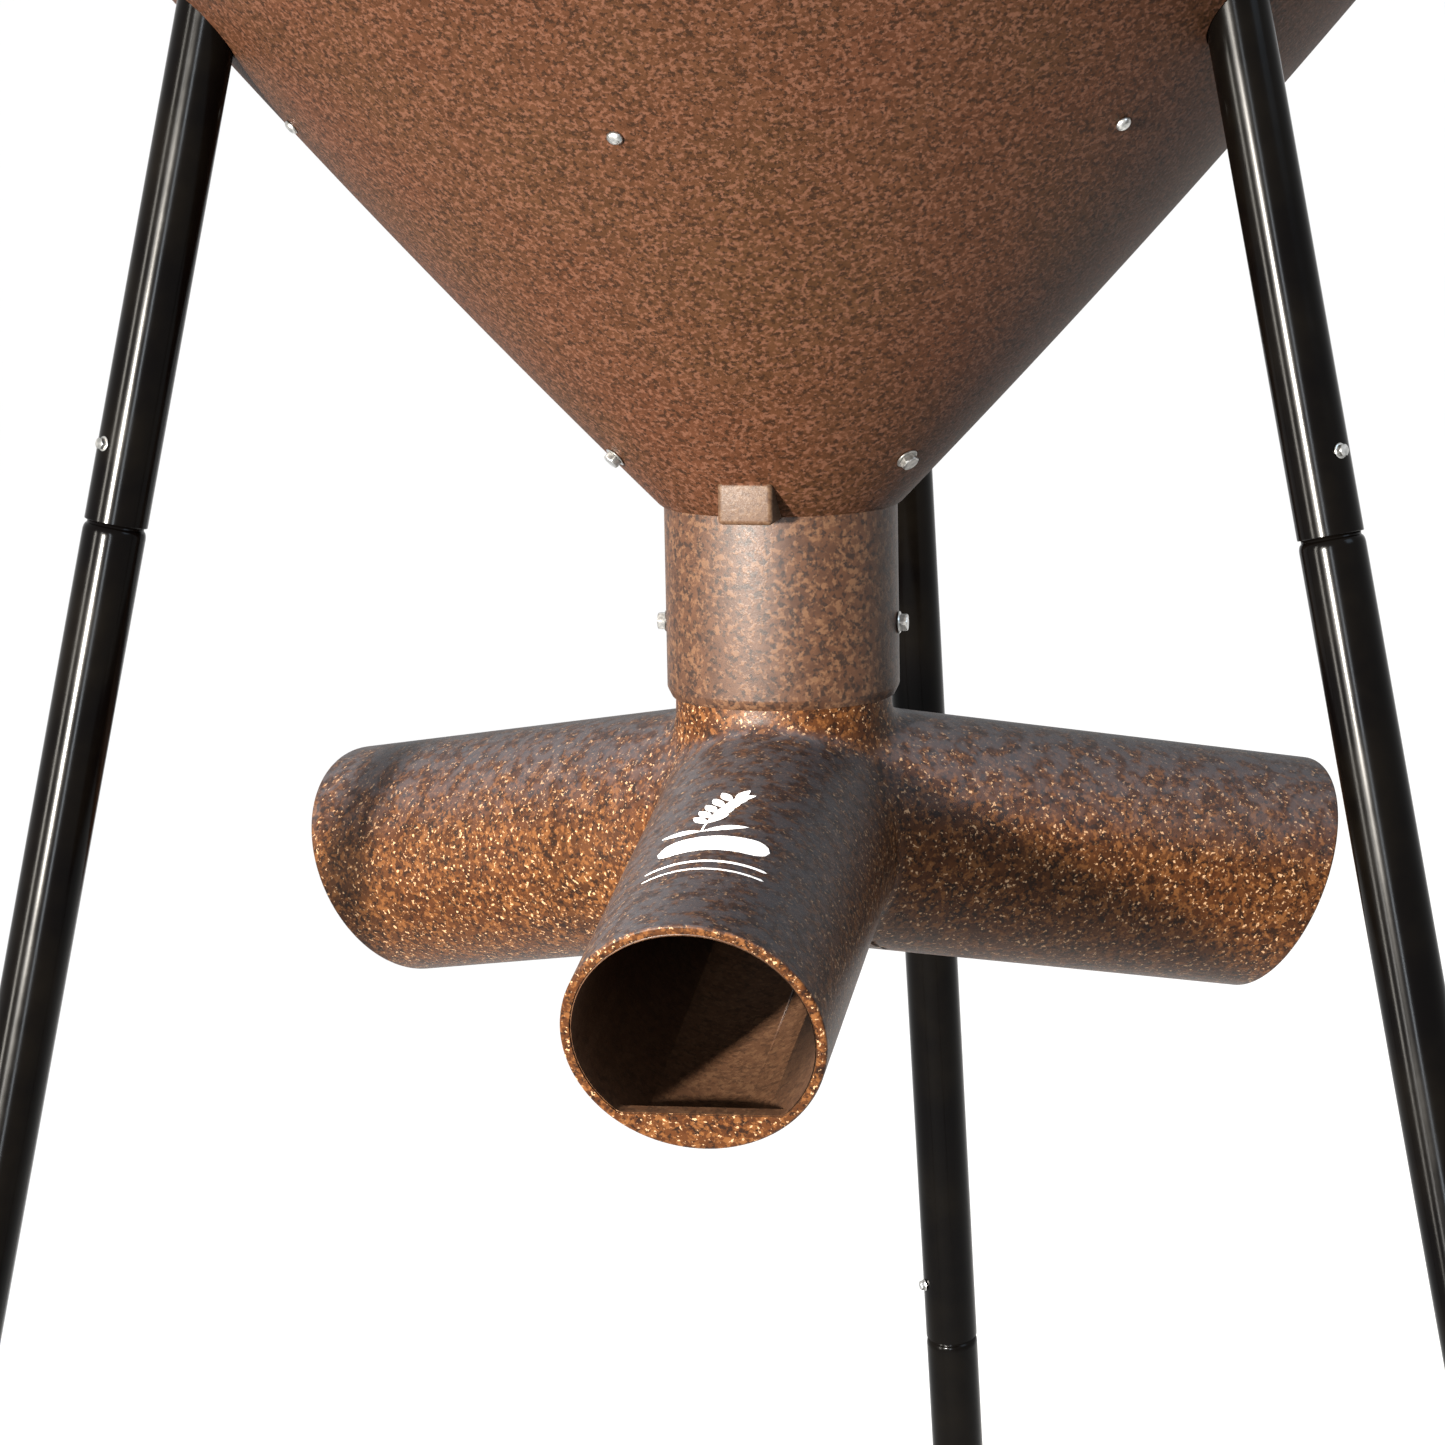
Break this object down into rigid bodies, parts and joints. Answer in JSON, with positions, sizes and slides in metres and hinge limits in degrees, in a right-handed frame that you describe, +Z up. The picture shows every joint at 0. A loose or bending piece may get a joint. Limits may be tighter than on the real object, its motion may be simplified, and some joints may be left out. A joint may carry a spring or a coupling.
{
  "type": "gravity game feeder",
  "caption": "Free-standing gravity feeder: a conical hopper with a twist-off lid on splayed sectional tube legs, over a collar and a head of sloping open feed ports.",
  "frame": {"origin": "on the floor under the middle of the bounding box; the hopper's own axis stands 0.1763 m towards -Y from it", "axes": "+Z up, -Y towards the single front port, +X to the right as seen from the front"},
  "size_m": [1.316, 1.1606, 2.258],
  "materials": {
    "hopper": "rotomoulded polyethylene, dark brown with fine dark and tan specks",
    "neck": "moulded plastic, brown, satin",
    "head": "moulded plastic, coppery brown with metallic flecks",
    "leg": "gloss black powder coat on steel tube",
    "zinc": "bright zinc-plated steel",
    "rubber": "black rubber"
  },
  "bodies": {
    "feeder_frame": {"foot_cap_back": "rubber", "foot_cap_left": "rubber", "foot_cap_right": "rubber", "funnel_bolt_1": "zinc", "funnel_bolt_2": "zinc", "funnel_bolt_3": "zinc", "funnel_bolt_4": "zinc", "funnel_bolt_5": "zinc", "funnel_bolt_6": "zinc", "funnel_nut_1": "zinc", "funnel_nut_2": "zinc", "funnel_nut_3": "zinc", "funnel_nut_4": "zinc", "funnel_nut_5": "zinc", "funnel_nut_6": "zinc", "gravity_head": "head", "head_screw_left": "zinc", "head_screw_right": "zinc", "hopper": "hopper", "leg_lower_back": "leg", "leg_lower_left": "leg", "leg_lower_right": "leg", "leg_middle_back": "leg", "leg_middle_left": "leg", "leg_middle_right": "leg", "leg_screw_lower_back": "zinc", "leg_screw_lower_left": "zinc", "leg_screw_lower_right": "zinc", "leg_screw_upper_back": "zinc", "leg_screw_upper_left": "zinc", "leg_screw_upper_right": "zinc", "leg_upper_back": "leg", "leg_upper_left": "leg", "leg_upper_right": "leg", "neck_bolt_1": "zinc", "neck_bolt_2": "zinc", "neck_bolt_3": "zinc", "neck_funnel": "neck", "neck_nut_1": "zinc", "neck_nut_2": "zinc", "neck_nut_3": "zinc", "neck_washer_1": "zinc", "neck_washer_2": "zinc", "neck_washer_3": "zinc"},
    "lid_seal": {"lid_gasket": "rubber"},
    "lid": {"lid": "hopper"}
  },
  "joints": [
    {"name": "lid_lift", "type": "slide", "parent": "feeder_frame", "child": "lid_seal", "axis": [0, 0, 1], "range_m": [0, 0.25]},
    {"name": "lid_twist", "type": "hinge", "parent": "lid_seal", "child": "lid", "pos_m": [0, -0.17627, 2.17], "axis": [0, 0, 1], "range_deg": [0, 32]}
  ]
}
